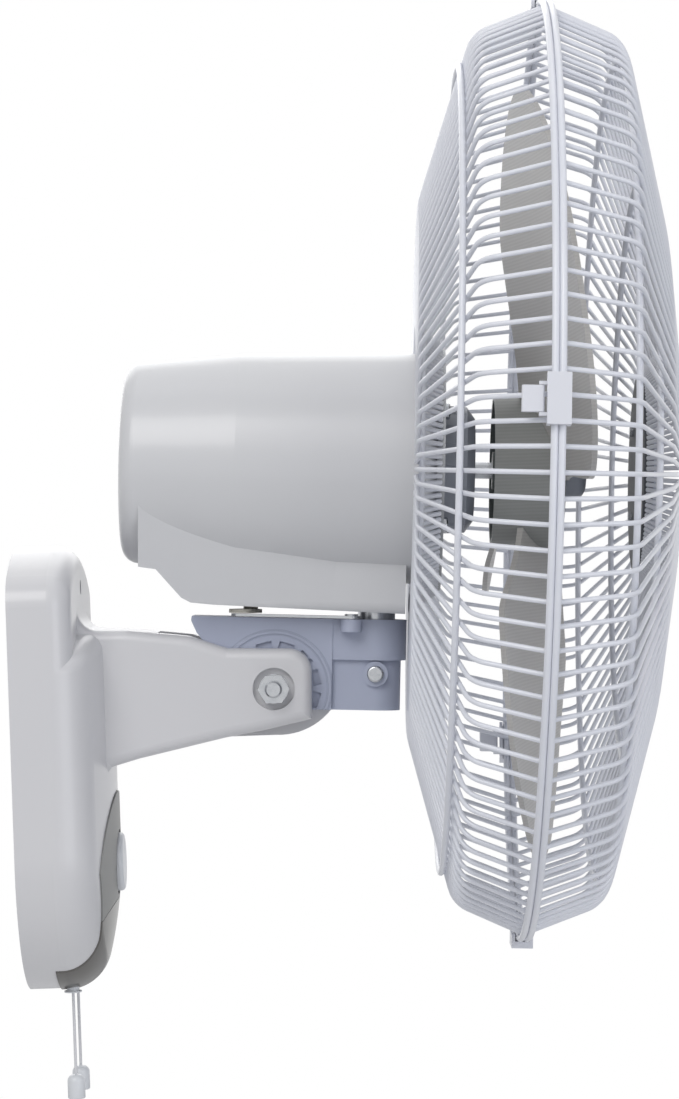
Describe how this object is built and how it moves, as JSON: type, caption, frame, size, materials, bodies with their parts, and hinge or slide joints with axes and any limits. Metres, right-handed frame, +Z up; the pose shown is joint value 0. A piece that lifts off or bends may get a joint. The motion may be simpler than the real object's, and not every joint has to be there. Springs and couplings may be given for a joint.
{
  "type": "wall mounted fan",
  "caption": "Oscillating wall mounted fan with wire guards, tilting bracket, speed knob and pull cords.",
  "frame": {"origin": "middle of the wall plate's back face, on the wall", "axes": "+X out from the wall, +Z up, Y along the wall"},
  "size_m": [0.3186, 0.4531, 0.5199],
  "materials": {
    "housing_white": "smooth moulded, near white",
    "base_white": "smooth moulded, warm white",
    "panel_grey": "satin mid grey",
    "cover_grey": "glossy grey",
    "knob_white": "smooth moulded, near white",
    "bracket_grey": "painted bluish grey",
    "wire_white": "powder coated",
    "blade_grey": "moulded, translucent grey",
    "badge_blue": "satin, plain",
    "badge_dark": "satin dark grey",
    "nut_grey": "satin bluish grey",
    "clip_white": "smooth moulded",
    "zinc": "zinc plated",
    "plate_steel": "galvanised sheet",
    "core_steel": "stacked sheet steel",
    "copper": "enamelled copper wire",
    "black_plastic": "moulded",
    "cast_alloy": "die cast",
    "bush_nylon": "natural nylon",
    "grommet_rubber": "soft rubber",
    "cord_white": "braided cord"
  },
  "bodies": {
    "base": {"base_housing": "base_white", "wall_plate": "plate_steel", "base_screw": "zinc", "control_panel": "panel_grey", "bottom_cover": "cover_grey", "speed_switch": "black_plastic", "speed_pull_switch": "black_plastic", "swing_pull_switch": "black_plastic", "cord_eyelets": "knob_white", "terminal_block": "bush_nylon", "run_capacitor": "black_plastic", "inlet_grommet": "grommet_rubber", "tilt_bolt": "zinc", "tilt_nut": "zinc", "tilt_washers": "zinc"},
    "bracket": {"tilt_bracket": "bracket_grey", "swivel_bush": "bush_nylon", "lock_screw": "zinc", "link_pin": "zinc"},
    "head": {"swivel_post": "zinc", "motor_housing": "housing_white", "front_cover": "housing_white", "front_bearing": "zinc", "rear_bearing": "zinc", "bearing_bridge": "cast_alloy", "stator_core": "core_steel", "stator_holder": "cast_alloy", "stator_windings": "copper", "swing_motor": "plate_steel", "rear_guard": "wire_white", "front_guard": "wire_white", "guard_plate": "plate_steel", "guard_screws": "zinc", "ring_nut": "nut_grey", "badge_plate": "badge_dark", "badge_cap": "badge_blue", "badge_screws": "zinc", "guard_clips": "clip_white"},
    "rotor": {"motor_shaft": "zinc", "rotor_core": "core_steel", "fan_blade": "blade_grey", "drive_pin": "zinc", "blade_nut": "nut_grey"},
    "crank": {"swing_crank": "bush_nylon"},
    "link": {"swing_link": "zinc"},
    "knob": {"speed_knob": "knob_white", "knob_spindle": "zinc"},
    "speed_pull": {"speed_cord": "cord_white", "speed_cord_bell": "knob_white", "speed_cord_hook": "zinc"},
    "swing_pull": {"swing_cord": "cord_white", "swing_cord_bell": "knob_white", "swing_cord_hook": "zinc"},
    "near_lever": {"near_clip_lever": "clip_white"},
    "far_lever": {"far_clip_lever": "clip_white"}
  },
  "joints": [
    {"name": "head_tilt", "type": "hinge", "parent": "base", "child": "bracket", "pos_m": [0.1216, 0, 0.035], "axis": [0, 1, 0], "range_deg": [-12, 22]},
    {"name": "oscillation", "type": "hinge", "parent": "bracket", "child": "head", "pos_m": [0.17082, 0, 0.05729], "axis": [0.0558, 0, 0.9984], "range_deg": [-39, 39]},
    {"name": "blade_spin", "type": "hinge", "parent": "head", "child": "rotor", "pos_m": [0.24823, 0, 0.13409], "axis": [0.9984, 0, -0.0558], "continuous": true},
    {"name": "crank_turn", "type": "hinge", "parent": "head", "child": "crank", "pos_m": [0.11103, 0, 0.07165], "axis": [0.0558, 0, 0.9984], "range_deg": [-89, 89]},
    {"name": "link_turn", "type": "hinge", "parent": "bracket", "child": "link", "pos_m": [0.15933, -0.018, 0.06674], "axis": [0.0558, 0, 0.9984], "range_deg": [-43, 43]},
    {"name": "speed_select", "type": "hinge", "parent": "base", "child": "knob", "pos_m": [0.042, 0, -0.0465], "axis": [1, 0, 0], "range_deg": [0, 105]},
    {"name": "speed_cord_pull", "type": "slide", "parent": "base", "child": "speed_pull", "axis": [0, 0, -1], "range_m": [0, 0.012], "stiffness_N_per_m": 400},
    {"name": "swing_cord_pull", "type": "slide", "parent": "base", "child": "swing_pull", "axis": [0, 0, -1], "range_m": [0, 0.012], "stiffness_N_per_m": 400},
    {"name": "near_clip_open", "type": "hinge", "parent": "head", "child": "near_lever", "pos_m": [0.24234, -0.2231, 0.15948], "axis": [0.0555, 0.1115, 0.9922], "range_deg": [0, 80]},
    {"name": "far_clip_open", "type": "hinge", "parent": "head", "child": "far_lever", "pos_m": [0.23312, 0.17545, -0.00535], "axis": [-0.0436, -0.6239, -0.7803], "range_deg": [0, 80]}
  ],
  "couplings": [
    {"joint": "crank_turn", "follows": "oscillation", "ratio": -2.28},
    {"joint": "link_turn", "follows": "oscillation", "ratio": 1.088}
  ]
}
